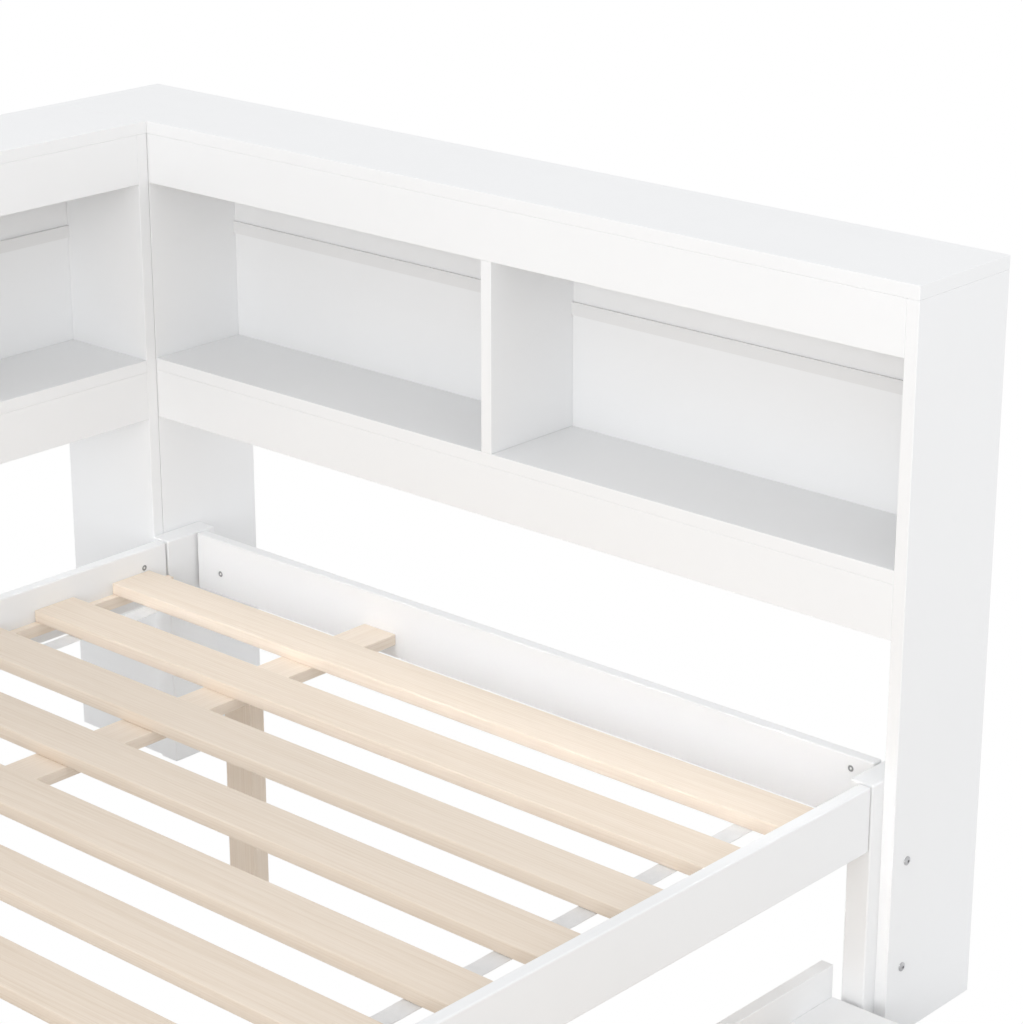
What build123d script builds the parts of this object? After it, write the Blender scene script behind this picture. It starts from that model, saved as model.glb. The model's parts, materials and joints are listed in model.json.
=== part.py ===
from build123d import *
import os

# Full-size daybed with an L of two bookcases round its head and back, and a trundle on casters.
# Millimetres, +Z up, standing on z = 0. Working axes: X runs along the bed towards the head,
# Y from the front of the bed to its back. The working zero is the inner corner where the front
# faces of the two bookcases meet; at the end everything is shifted to the centre of the footprint.

# Boards
BOARD = 20.0
EDGE_ROUND = 1.0
RAIL_ROUND = 2.5
ROUND_SHARE = 0.3

# Bookcases
CASE_HEIGHT = 1091.0
CASE_DEPTH = 208.0
FASCIA_HEIGHT = 80.0
SHELF_DROP = 391.0
CASE_GAP = 1.0
LONG_BAYS = 3
END_BAYS = 2
BACK_PANEL = 5.0
BACK_SETBACK = 20.5
GROOVE_DEPTH = 6.0
GROOVE_PLAY = 0.2
STRIP_HEIGHT = 20.0
STRIP_DROP = 196.0
STRIP_FLANGE = 4.0
STRIP_WEB = 2.0

# Mattress that the bed is made for, and the play round it
MATTRESS_LENGTH = 1905.0
MATTRESS_WIDTH = 1372.0
LENGTH_PLAY = 10.5
WIDTH_PLAY = 11.5

# Posts and rails
POST_WIDTH = 104.0
POST_THICK = 38.0
BED_HEIGHT = 397.0
RAIL_HEIGHT = 97.0
RAIL_GAP = 4.0
RAIL_BEHIND_CASE = 35.5
POST_MARGIN = 23.0

# Slats, ledgers, webbing, centre beam and its legs
SLAT_DROP = 37.0
SLAT_THICK = 20.0
SLAT_WIDTH = 80.0
SLAT_PITCH = 161.0
SLAT_ROUND = 2.0
FIRST_SLAT_GAP = 103.5
LAST_SLAT_GAP = 60.0
SLAT_PLAY = 0.5
LEDGER_WIDTH = 14.0
LEDGER_THICK = 19.0
LEDGER_PLAY = 2.0
STRAP_WIDTH = 31.0
STRAP_THICK = 1.6
BACK_STRAP_INSET = 80.0
FRONT_STRAP_INSET = 89.5
BEAM_WIDTH = 68.0
BEAM_THICK = 18.0
BEAM_SETBACK = 394.0
LEG_THICK = 28.0
LEG_WIDTH = 57.0
LEG_INSET = 285.5
LEG_COUNT = 3

# Trundle, drawn out until only its back edge is still under the bed
TRUNDLE_PLAY = 12.0
TRUNDLE_LEG_PLAY = 13.0
TRUNDLE_TUCK = 64.0
TRUNDLE_BOARD = 97.0
CROSS_WIDTH = 95.0
CROSS_DROP = 50.0
TRUNDLE_LEDGER = 20.0

# Casters
WHEEL_RADIUS = 18.0
WHEEL_WIDTH = 16.0
WHEEL_ROUND = 2.0
WHEEL_RIM = 5.0
WHEEL_DISH = 2.7
HUB_RADIUS = 5.0
WHEEL_SIDE_PLAY = 1.0
WHEEL_TOP_PLAY = 9.0
AXLE_RADIUS = 2.5
AXLE_HEAD_RADIUS = 4.0
AXLE_HEAD_HEIGHT = 1.0
RUNNING_PLAY = 0.05
CASTER_SHEET = 2.0
CASTER_FLANGE = 16.0
CASTER_PLATE = 40.0
CHEEK_WIDTH = 18.0
CASTER_INSET = 90.0

# Dowels
DOWEL_RADIUS = 4.0
DOWEL_LENGTH = 30.0
DOWEL_IN_FACE = 12.0
DOWEL_EDGE = 52.0
FASCIA_DOWEL_EDGE = 20.0
RAIL_DOWEL_DROP = 45.0
RAIL_DOWEL_RISE = 12.0
HOLE_PLAY = 0.1

# Rail bolts and barrel nuts; each nut is placed by its distance from the rail's end and its top
BOLT_RADIUS = 4.0
BOLT_HEAD_RADIUS = 6.5
BOLT_HEAD_HEIGHT = 8.0
BOLT_HEX = 6.0
BOLT_SOCKET = 4.0
BOLT_PAST_NUT = 10.0
NUT_RADIUS = 5.0
NUT_LENGTH = 16.0
NUT_SLOT = 1.4
BACK_RAIL_NUT = (48.0, 31.0)
FRONT_RAIL_NUT = (48.0, 59.0)
CROSS_RAIL_BACK_NUT = (55.0, 59.0)
CROSS_RAIL_FRONT_NUT = (38.0, 19.0)

# Button-head bolts through the bookcases into the posts
CASE_BOLT_EDGE = 44.5
CASE_BOLT_HEIGHTS = (108.0, 271.0)
CASE_BOLT_LENGTH = 50.0
CASE_BOLT_RADIUS = 3.0
CASE_BOLT_HEAD_RADIUS = 6.5
CASE_BOLT_HEAD_HEIGHT = 3.5
CASE_BOLT_DOME = 2.1
CASE_BOLT_HEX = 4.0
CASE_BOLT_SOCKET = 2.4

# Screws
SCREW_RADIUS = 2.0
SCREW_HEAD_RADIUS = 4.0
SCREW_HEAD_HEIGHT = 2.5
SCREW_LENGTH = 45.0
SCREW_CROSS = 4.6
SCREW_SLOT = 0.9
SCREW_CROSS_DEPTH = 1.2
LEG_SCREW_EDGE = 14.0
BEAM_SCREW_EDGE = 17.0
CROSS_SCREW_EDGE = 24.0
CASTER_SCREW_LENGTH = 14.0
CASTER_SCREW_EDGE = 6.0

# Places that follow from the sizes above
INNER_LENGTH = MATTRESS_LENGTH + 2 * LENGTH_PLAY
INNER_WIDTH = MATTRESS_WIDTH + 2 * WIDTH_PLAY
HEAD_IN = RAIL_BEHIND_CASE
HEAD_OUT = HEAD_IN + BOARD
FOOT_IN = HEAD_IN - INNER_LENGTH
FOOT_OUT = FOOT_IN - BOARD
HEAD_POST = (HEAD_OUT + POST_MARGIN - POST_WIDTH, HEAD_OUT + POST_MARGIN)
FOOT_POST = (FOOT_OUT - POST_MARGIN, FOOT_OUT - POST_MARGIN + POST_WIDTH)
BACK_IN = -POST_THICK
FRONT_IN = BACK_IN - INNER_WIDTH
FRONT_OUT = FRONT_IN - BOARD
BACK_POST = (-POST_THICK, 0.0)
FRONT_POST = (FRONT_OUT, FRONT_OUT + POST_THICK)
RAIL_BOTTOM = BED_HEIGHT - RAIL_HEIGHT
SLAT_TOP = BED_HEIGHT - SLAT_DROP
SLAT_BOTTOM = SLAT_TOP - SLAT_THICK
TOP_UNDER = CASE_HEIGHT - BOARD
SHELF_TOP = CASE_HEIGHT - SHELF_DROP
SHELF_UNDER = SHELF_TOP - BOARD
FASCIA_BOTTOM = TOP_UNDER - FASCIA_HEIGHT
APRON_BOTTOM = SHELF_UNDER - FASCIA_HEIGHT
BACK_REAR = CASE_DEPTH - BACK_SETBACK
BACK_FACE = BACK_REAR - BACK_PANEL
STRIP_TOP = CASE_HEIGHT - STRIP_DROP
STRIP_BOTTOM = STRIP_TOP - STRIP_HEIGHT
END_FRONT = FRONT_OUT - BOARD
LONG_HEAD = -CASE_GAP
LONG_FOOT = FOOT_POST[0]
BEAM_BACK = BACK_IN - BEAM_SETBACK
BEAM_FRONT = BEAM_BACK - BEAM_WIDTH
BEAM_UNDER = SLAT_BOTTOM - BEAM_THICK
TRUNDLE_HEAD = HEAD_POST[0] - TRUNDLE_PLAY
TRUNDLE_FOOT = FOOT_POST[1] + TRUNDLE_PLAY
TRUNDLE_DEPTH = BEAM_FRONT - TRUNDLE_LEG_PLAY - FRONT_OUT
TRUNDLE_BACK = FRONT_OUT + TRUNDLE_TUCK
TRUNDLE_FRONT = TRUNDLE_BACK - TRUNDLE_DEPTH
CROSS_UNDER = 2 * WHEEL_RADIUS + WHEEL_TOP_PLAY + CASTER_SHEET
CROSS_TOP = CROSS_UNDER + BOARD
TRUNDLE_TOP = CROSS_TOP + CROSS_DROP
TRUNDLE_BOTTOM = TRUNDLE_TOP - TRUNDLE_BOARD
TRUNDLE_SLAT_UNDER = CROSS_TOP - SLAT_THICK

# The finished part's zero is the middle of everything's footprint with the trundle drawn out
MIDDLE_X = (LONG_FOOT + CASE_DEPTH) / 2
MIDDLE_Y = (TRUNDLE_FRONT + CASE_DEPTH) / 2

parts = {}


def block(x, y, z):
    """A plain box between the two ends given for each axis."""
    size = [abs(end - start) for start, end in (x, y, z)]
    middle = [(start + end) / 2 for start, end in (x, y, z)]
    return Pos(*middle) * Box(*size)


def board(x, y, z, radius=EDGE_ROUND):
    """A board with softly rounded edges, the round no more than a share of its thinnest side."""
    solid = block(x, y, z)
    thinnest = min(abs(end - start) for start, end in (x, y, z))
    return fillet(solid.edges(), min(radius, thinnest * ROUND_SHARE))


def rod(start, direction, length, radius):
    """A cylinder from a start point along an axis direction."""
    return extrude(Plane(start, z_dir=direction) * Circle(radius), amount=length)


def hexagon_hole(start, direction, width, depth):
    """The room for a hexagon key, cut in from a start point."""
    outline = RegularPolygon(width / 2, 6, major_radius=False)
    return extrude(Plane(start, z_dir=direction) * outline, amount=depth)


def along(start, direction, distance):
    """The point at a distance from a start point."""
    return tuple(place + step * distance for place, step in zip(start, direction))


def middle_of(span):
    """The middle of a pair of ends."""
    return (span[0] + span[1]) / 2


def cut(names, tool):
    """Take a tool away from each named part."""
    for name in names:
        parts[name] = parts[name] - tool


def add(name, solid):
    """Add a solid to a group of separate solids under one name."""
    parts.setdefault(name, []).append(solid)


def dowel(face_point, direction, face_board, end_board, gap=0.0):
    """A dowel across a joint, with a blind hole in the board on each side of it.

    The direction points from the board whose face is drilled into the end of the other board,
    which stands off by the gap.
    """
    start = along(face_point, direction, -DOWEL_IN_FACE)
    length = DOWEL_LENGTH + gap
    add("dowels", rod(start, direction, length, DOWEL_RADIUS))
    hole_start = along(start, direction, -HOLE_PLAY)
    hole = rod(hole_start, direction, length + 2 * HOLE_PLAY, DOWEL_RADIUS + HOLE_PLAY)
    cut((face_board, end_board), hole)


def make_case(prefix, place, top_span, inside, sides, bays):
    """The boards of one bookcase. Gives each divider's name and the middle of its thickness.

    place(span, depth) turns a span along the case and a range of depth into X and Y ranges.
    """
    whole_depth = (0, CASE_DEPTH)
    parts[prefix + "_top"] = board(*place(top_span, whole_depth), (TOP_UNDER, CASE_HEIGHT))
    for name, span in sides.items():
        parts[name] = board(*place(span, whole_depth), (0, TOP_UNDER))
    parts[prefix + "_shelf"] = board(*place(inside, whole_depth), (SHELF_UNDER, SHELF_TOP))
    front = place(inside, (0, BOARD))
    parts[prefix + "_top_fascia"] = board(*front, (FASCIA_BOTTOM, TOP_UNDER))
    parts[prefix + "_bottom_fascia"] = board(*front, (APRON_BOTTOM, SHELF_UNDER))
    make_back(prefix, place, inside)
    return make_dividers(prefix, place, inside, bays)


def make_back(prefix, place, inside):
    """The two thin back panels and the strip that joins their edges."""
    grooved = (min(inside) - GROOVE_DEPTH, max(inside) + GROOVE_DEPTH)
    depth = (BACK_FACE, BACK_REAR)
    web_bottom = middle_of((STRIP_BOTTOM, STRIP_TOP)) - STRIP_WEB / 2
    web_top = web_bottom + STRIP_WEB
    lower = (SHELF_TOP - GROOVE_DEPTH, web_bottom)
    upper = (web_top, TOP_UNDER + GROOVE_DEPTH)
    parts[prefix + "_back_lower"] = block(*place(grooved, depth), lower)
    parts[prefix + "_back_upper"] = block(*place(grooved, depth), upper)
    strip = block(*place(inside, depth), (web_bottom, web_top))
    for flange in ((BACK_FACE - STRIP_FLANGE, BACK_FACE), (BACK_REAR, BACK_REAR + STRIP_FLANGE)):
        strip = strip + block(*place(inside, flange), (STRIP_BOTTOM, STRIP_TOP))
    parts[prefix + "_back_strip"] = strip


def make_dividers(prefix, place, inside, bays):
    """Upright dividers, notched for the top fascia and for the strip behind them."""
    low, high = min(inside), max(inside)
    bay = (high - low - (bays - 1) * BOARD) / bays
    dividers = []
    for index in range(1, bays):
        start = low + index * bay + (index - 1) * BOARD
        span = (start, start + BOARD)
        name = f"{prefix}_divider_{index}" if bays > 2 else f"{prefix}_divider"
        upright = board(*place(span, (0, BACK_FACE)), (SHELF_TOP, TOP_UNDER))
        fascia_notch = block(*place(span, (0, BOARD)), (FASCIA_BOTTOM, TOP_UNDER))
        strip_depth = (BACK_FACE - STRIP_FLANGE, BACK_FACE)
        strip_notch = block(*place(span, strip_depth), (STRIP_BOTTOM, STRIP_TOP))
        parts[name] = upright - fascia_notch - strip_notch
        dividers.append((name, middle_of(span)))
    return dividers


def groove_case(prefix, sides):
    """Cut the grooves that hold the back panels."""
    for panel in ("_back_lower", "_back_upper"):
        box = parts[prefix + panel].bounding_box()
        low = tuple(value - GROOVE_PLAY for value in box.min)
        high = tuple(value + GROOVE_PLAY for value in box.max)
        cut((prefix + "_top", prefix + "_shelf", *sides), block(*zip(low, high)))


def dowel_case(prefix, point, inner_faces, dividers, sides):
    """Dowels in one bookcase: shelf and fascias into the sides, top onto sides and dividers.

    point(a, depth, z) places a point of the case. Each inner face has its side's name, its place
    along the case and the way into the case.
    """
    depths = (DOWEL_EDGE, CASE_DEPTH - DOWEL_EDGE)
    boards_behind_fascia = (DOWEL_EDGE, BACK_FACE - DOWEL_EDGE)
    fascias = (("_top_fascia", FASCIA_BOTTOM), ("_bottom_fascia", APRON_BOTTOM))
    for name, face, inward in inner_faces:
        for depth in depths:
            spot = point(face, depth, middle_of((SHELF_UNDER, SHELF_TOP)))
            dowel(spot, inward, name, prefix + "_shelf")
        for fascia, bottom in fascias:
            for rise in (FASCIA_DOWEL_EDGE, FASCIA_HEIGHT - FASCIA_DOWEL_EDGE):
                dowel(point(face, BOARD / 2, bottom + rise), inward, name, prefix + fascia)
    for name, middle in dividers:
        for depth in boards_behind_fascia:
            dowel(point(middle, depth, SHELF_TOP), (0, 0, 1), prefix + "_shelf", name)
            dowel(point(middle, depth, TOP_UNDER), (0, 0, -1), prefix + "_top", name)
    for name, span in sides.items():
        for depth in depths:
            spot = point(middle_of(span), depth, TOP_UNDER)
            dowel(spot, (0, 0, -1), prefix + "_top", name)


def build_end_case():
    """The end bookcase, across the head of the bed and on through the corner."""
    sides = {
        "end_front_side": (END_FRONT, FRONT_OUT),
        "end_corner_side": (0.0, BOARD),
        "end_outer_side": (CASE_DEPTH - BOARD, CASE_DEPTH),
    }
    inside = (FRONT_OUT, 0.0)

    def place(span, depth):
        return depth, span

    def point(a, depth, z):
        return (depth, a, z)

    dividers = make_case("end", place, (END_FRONT, CASE_DEPTH), inside, sides, END_BAYS)
    groove_case("end", ("end_front_side", "end_corner_side"))
    inner_faces = (
        ("end_front_side", inside[0], (0, 1, 0)),
        ("end_corner_side", inside[1], (0, -1, 0)),
    )
    dowel_case("end", point, inner_faces, dividers, sides)
    build_corner_stretchers()


def build_corner_stretchers():
    """Two stretchers that tie the outer side to the corner side, behind the corner."""
    x = (CASE_DEPTH - BOARD, CASE_DEPTH)
    y = (BOARD, CASE_DEPTH - BOARD)
    bottoms = (FASCIA_BOTTOM, APRON_BOTTOM)
    stretchers = [board(x, y, (bottom, bottom + FASCIA_HEIGHT)) for bottom in bottoms]
    parts["corner_stretchers"] = Compound(children=stretchers)
    ends = (("end_corner_side", y[0], (0, 1, 0)), ("end_outer_side", y[1], (0, -1, 0)))
    for bottom in bottoms:
        for rise in (FASCIA_DOWEL_EDGE, FASCIA_HEIGHT - FASCIA_DOWEL_EDGE):
            for name, face, inward in ends:
                dowel((middle_of(x), face, bottom + rise), inward, name, "corner_stretchers")


def build_long_case():
    """The long bookcase, along the back of the bed."""
    sides = {
        "long_corner_side": (LONG_HEAD - BOARD, LONG_HEAD),
        "long_foot_side": (LONG_FOOT, LONG_FOOT + BOARD),
    }
    inside = (LONG_FOOT + BOARD, LONG_HEAD - BOARD)

    def place(span, depth):
        return span, depth

    def point(a, depth, z):
        return (a, depth, z)

    dividers = make_case("long", place, (LONG_FOOT, 0.0), inside, sides, LONG_BAYS)
    groove_case("long", sides)
    inner_faces = (
        ("long_foot_side", inside[0], (1, 0, 0)),
        ("long_corner_side", inside[1], (-1, 0, 0)),
    )
    dowel_case("long", point, inner_faces, dividers, sides)


def build_frame():
    """Posts and rails of the bed, the rails a little shorter than the room between the posts."""
    posts = {
        "post_head_back": (HEAD_POST, BACK_POST),
        "post_head_front": (HEAD_POST, FRONT_POST),
        "post_foot_back": (FOOT_POST, BACK_POST),
        "post_foot_front": (FOOT_POST, FRONT_POST),
    }
    for name, (x, y) in posts.items():
        parts[name] = board(x, y, (0, BED_HEIGHT), RAIL_ROUND)
    height = (RAIL_BOTTOM, BED_HEIGHT)
    lengthways = (FOOT_POST[1] + RAIL_GAP, HEAD_POST[0] - RAIL_GAP)
    crossways = (FRONT_POST[1] + RAIL_GAP, BACK_POST[0] - RAIL_GAP)
    parts["back_rail"] = board(lengthways, (BACK_IN, BACK_IN + BOARD), height, RAIL_ROUND)
    parts["front_rail"] = board(lengthways, (FRONT_OUT, FRONT_IN), height, RAIL_ROUND)
    parts["head_rail"] = board((HEAD_IN, HEAD_OUT), crossways, height, RAIL_ROUND)
    parts["foot_rail"] = board((FOOT_OUT, FOOT_IN), crossways, height, RAIL_ROUND)
    join_rails(lengthways, crossways)


def join_rails(lengthways, crossways):
    """A bolt, a barrel nut and two dowels at each end of each rail."""
    ends = (
        ("head", middle_of((HEAD_IN, HEAD_OUT)), lengthways[1], HEAD_POST[1], HEAD_POST[0], -1),
        ("foot", middle_of((FOOT_OUT, FOOT_IN)), lengthways[0], FOOT_POST[0], FOOT_POST[1], 1),
    )
    for end, cross_x, rail_end, post_outer, post_inner, way in ends:
        for side, y, nut, nut_face in (
            ("back", BACK_IN + BOARD / 2, BACK_RAIL_NUT, (0, -1, 0)),
            ("front", middle_of((FRONT_OUT, FRONT_IN)), FRONT_RAIL_NUT, (0, 1, 0)),
        ):
            names = (f"post_{end}_{side}", side + "_rail")
            points = ((post_outer, y), (post_inner, y), (rail_end, y))
            connect(names, points, (way, 0, 0), nut, nut_face)
        for side, post, rail_y, inward, nut in (
            ("back", BACK_POST, crossways[1], -1, CROSS_RAIL_BACK_NUT),
            ("front", FRONT_POST[::-1], crossways[0], 1, CROSS_RAIL_FRONT_NUT),
        ):
            names = (f"post_{end}_{side}", end + "_rail")
            points = ((cross_x, post[1]), (cross_x, post[0]), (cross_x, rail_y))
            connect(names, points, (0, inward, 0), nut, (way, 0, 0))


def connect(names, points, direction, nut, nut_face):
    """Bolt a rail to a post: socket-head bolt through the post, barrel nut and dowels in the rail.

    The points are on the post's outer face, on its inner face and at the rail's end.
    """
    post_outer, post_inner, rail_end = points
    nut_inset, nut_drop = nut
    height = BED_HEIGHT - nut_drop
    head_start = (*post_outer, height)
    shank_start = along(head_start, direction, BOLT_HEAD_HEIGHT)
    nut_middle = along((*rail_end, height), direction, nut_inset)
    tip = along(nut_middle, direction, BOLT_PAST_NUT)
    reach = sum(abs(end - start) for start, end in zip(shank_start, tip))
    head = rod(head_start, direction, BOLT_HEAD_HEIGHT, BOLT_HEAD_RADIUS)
    shank = rod(shank_start, direction, reach, BOLT_RADIUS)
    add("rail_bolts", head + shank - hexagon_hole(head_start, direction, BOLT_HEX, BOLT_SOCKET))
    bore = rod(head_start, direction, BOLT_HEAD_HEIGHT + reach + HOLE_PLAY, BOLT_RADIUS + HOLE_PLAY)
    sink = rod(head_start, direction, BOLT_HEAD_HEIGHT, BOLT_HEAD_RADIUS + HOLE_PLAY)
    cut(names, bore)
    cut(names[:1], sink)
    nut_start = along(nut_middle, nut_face, BOARD / 2)
    inward = tuple(-step for step in nut_face)
    barrel = rod(nut_start, inward, NUT_LENGTH, NUT_RADIUS)
    slot = Pos(*nut_start) * Box(NUT_SLOT, NUT_SLOT, 2 * NUT_RADIUS)
    add("barrel_nuts", barrel - slot - bore)
    cut(names[1:], rod(nut_start, inward, NUT_LENGTH + HOLE_PLAY, NUT_RADIUS + HOLE_PLAY))
    for dowel_height in (BED_HEIGHT - RAIL_DOWEL_DROP, RAIL_BOTTOM + RAIL_DOWEL_RISE):
        dowel((*post_inner, dowel_height), direction, *names, gap=RAIL_GAP)


def build_case_bolts():
    """Button-head bolts that hold the posts to the bookcases."""
    end_case_x = HEAD_POST[1] - CASE_BOLT_EDGE
    spots = (
        ((end_case_x, END_FRONT), (0, 1, 0), ("end_front_side", "post_head_front")),
        ((end_case_x, BOARD), (0, -1, 0), ("end_corner_side", "post_head_back")),
        ((LONG_HEAD - BOARD / 2, BACK_IN), (0, 1, 0), ("post_head_back", "long_corner_side")),
        ((LONG_FOOT + BOARD / 2, BACK_IN), (0, 1, 0), ("post_foot_back", "long_foot_side")),
    )
    for place, direction, names in spots:
        for height in CASE_BOLT_HEIGHTS:
            start = (*place, height)
            add("case_bolts", button_bolt(start, direction))
            hole_length = CASE_BOLT_LENGTH + HOLE_PLAY
            cut(names, rod(start, direction, hole_length, CASE_BOLT_RADIUS + HOLE_PLAY))


def button_bolt(start, direction):
    """A bolt whose domed head stands on the face at its start point."""
    outward = tuple(-step for step in direction)
    head = rod(start, outward, CASE_BOLT_HEAD_HEIGHT, CASE_BOLT_HEAD_RADIUS)
    rims = head.edges().filter_by(GeomType.CIRCLE)
    outer_rim = max(rims, key=lambda rim: sum(a * b for a, b in zip(rim.center(), outward)))
    head = fillet(outer_rim, CASE_BOLT_DOME)
    crown = along(start, outward, CASE_BOLT_HEAD_HEIGHT)
    head = head - hexagon_hole(crown, direction, CASE_BOLT_HEX, CASE_BOLT_SOCKET)
    return head + rod(start, direction, CASE_BOLT_LENGTH, CASE_BOLT_RADIUS)


def slat_places():
    """Head-side faces of the bed's slats, from the head to the foot."""
    room = INNER_LENGTH - FIRST_SLAT_GAP - SLAT_WIDTH - LAST_SLAT_GAP
    count = 1 + int(room / SLAT_PITCH)
    return [HEAD_IN - FIRST_SLAT_GAP - index * SLAT_PITCH for index in range(count)]


def build_deck():
    """Slats, the ledgers that carry them, the webbing under them, and the beam on its legs."""
    y = (FRONT_IN + SLAT_PLAY, BACK_IN - SLAT_PLAY)
    places = slat_places()
    for face in places:
        add("bed_slats", board((face - SLAT_WIDTH, face), y, (SLAT_BOTTOM, SLAT_TOP), SLAT_ROUND))
    ledger_x = (FOOT_POST[1] + LEDGER_PLAY, HEAD_POST[0] - LEDGER_PLAY)
    ledger_z = (SLAT_BOTTOM - LEDGER_THICK, SLAT_BOTTOM)
    parts["back_ledger"] = board(ledger_x, (BACK_IN - LEDGER_WIDTH, BACK_IN), ledger_z)
    parts["front_ledger"] = board(ledger_x, (FRONT_IN, FRONT_IN + LEDGER_WIDTH), ledger_z)
    strap_x = (places[-1] - SLAT_WIDTH, places[0])
    strap_z = (SLAT_BOTTOM - STRAP_THICK, SLAT_BOTTOM)
    back_edge = BACK_IN - BACK_STRAP_INSET
    front_edge = FRONT_IN + FRONT_STRAP_INSET
    parts["back_strap"] = block(strap_x, (back_edge - STRAP_WIDTH, back_edge), strap_z)
    parts["front_strap"] = block(strap_x, (front_edge, front_edge + STRAP_WIDTH), strap_z)
    beam_y = (BEAM_FRONT, BEAM_BACK)
    parts["centre_beam"] = board((FOOT_IN, HEAD_IN), beam_y, (BEAM_UNDER, SLAT_BOTTOM))
    build_legs()
    build_beam_screws()


def build_legs():
    """Legs under the centre beam, evenly spaced between its ends."""
    first = HEAD_IN - LEG_INSET
    last = FOOT_IN + LEG_INSET + LEG_THICK
    step = (first - last) / max(LEG_COUNT - 1, 1)
    y = (BEAM_FRONT, BEAM_FRONT + LEG_WIDTH)
    for index in range(LEG_COUNT):
        face = first - index * step
        name = f"beam_leg_{index + 1}"
        x = (face - LEG_THICK, face)
        parts[name] = board(x, y, (0, BEAM_UNDER))
        for screw_y in (y[0] + LEG_SCREW_EDGE, y[1] - LEG_SCREW_EDGE):
            start = (middle_of(x), screw_y, SLAT_BOTTOM)
            screw("frame_screws", start, (0, 0, -1), ("centre_beam", name))


def build_beam_screws():
    """Two screws through each end rail into the end of the centre beam."""
    height = middle_of((BEAM_UNDER, SLAT_BOTTOM))
    for face, way, rail in ((HEAD_OUT, -1, "head_rail"), (FOOT_OUT, 1, "foot_rail")):
        for y in (BEAM_FRONT + BEAM_SCREW_EDGE, BEAM_BACK - BEAM_SCREW_EDGE):
            screw("frame_screws", (face, y, height), (way, 0, 0), (rail, "centre_beam"))


def screw(group, start, direction, names):
    """A countersunk cross-head screw, flush in the first board and driven on into the second."""
    shank_start = along(start, direction, SCREW_HEAD_HEIGHT)
    rim = Plane(start, z_dir=direction) * Circle(SCREW_HEAD_RADIUS)
    neck = Plane(shank_start, z_dir=direction) * Circle(SCREW_RADIUS)
    head = loft([rim.face(), neck.face()])
    tool = head + rod(shank_start, direction, SCREW_LENGTH - SCREW_HEAD_HEIGHT, SCREW_RADIUS)
    add(group, tool - cross_recess(start, direction))
    cut(names, tool)


def cross_recess(start, direction):
    """The cross in a screw's head."""
    cross = Rectangle(SCREW_CROSS, SCREW_SLOT) + Rectangle(SCREW_SLOT, SCREW_CROSS)
    return extrude(Plane(start, z_dir=direction) * cross, amount=SCREW_CROSS_DEPTH)


def build_trundle():
    """The trundle: two long boards, two flat cross boards, ledgers, slats and casters."""
    x = (TRUNDLE_FOOT, TRUNDLE_HEAD)
    z = (TRUNDLE_BOTTOM, TRUNDLE_TOP)
    inner_y = (TRUNDLE_FRONT + BOARD, TRUNDLE_BACK - BOARD)
    parts["trundle_back_board"] = board(x, (inner_y[1], TRUNDLE_BACK), z)
    parts["trundle_front_board"] = board(x, (TRUNDLE_FRONT, inner_y[0]), z)
    crosses = {
        "head": (TRUNDLE_HEAD - CROSS_WIDTH, TRUNDLE_HEAD),
        "foot": (TRUNDLE_FOOT, TRUNDLE_FOOT + CROSS_WIDTH),
    }
    for end, cross_x in crosses.items():
        parts[f"trundle_{end}_cross"] = board(cross_x, inner_y, (CROSS_UNDER, CROSS_TOP))
        screw_cross(end, cross_x)
    between = (crosses["foot"][1], crosses["head"][0])
    ledger_z = (TRUNDLE_SLAT_UNDER - TRUNDLE_LEDGER, TRUNDLE_SLAT_UNDER)
    back_y = (inner_y[1] - TRUNDLE_LEDGER, inner_y[1])
    front_y = (inner_y[0], inner_y[0] + TRUNDLE_LEDGER)
    parts["trundle_back_ledger"] = board(between, back_y, ledger_z)
    parts["trundle_front_ledger"] = board(between, front_y, ledger_z)
    build_trundle_slats(between, inner_y)
    axle_places = {"back": TRUNDLE_BACK - CASTER_INSET, "front": TRUNDLE_FRONT + CASTER_INSET}
    for end, cross_x in crosses.items():
        for side, y in axle_places.items():
            build_caster(end, side, middle_of(cross_x), y)


def build_trundle_slats(between, inner_y):
    """Slats spread evenly between the cross boards at about the bed's own pitch."""
    room = between[1] - between[0]
    count = max(1, round(room / SLAT_PITCH))
    gap = (room - count * SLAT_WIDTH) / (count + 1)
    y = (inner_y[0] + SLAT_PLAY, inner_y[1] - SLAT_PLAY)
    for index in range(count):
        start = between[0] + gap + index * (SLAT_WIDTH + gap)
        x = (start, start + SLAT_WIDTH)
        add("trundle_slats", board(x, y, (TRUNDLE_SLAT_UNDER, CROSS_TOP), SLAT_ROUND))


def screw_cross(end, cross_x):
    """Screws through the long boards into both ends of a cross board."""
    height = middle_of((CROSS_UNDER, CROSS_TOP))
    name = f"trundle_{end}_cross"
    for x in (cross_x[0] + CROSS_SCREW_EDGE, cross_x[1] - CROSS_SCREW_EDGE):
        for y, way, side in ((TRUNDLE_BACK, -1, "back"), (TRUNDLE_FRONT, 1, "front")):
            names = (f"trundle_{side}_board", name)
            screw("trundle_screws", (x, y, height), (0, way, 0), names)


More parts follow.
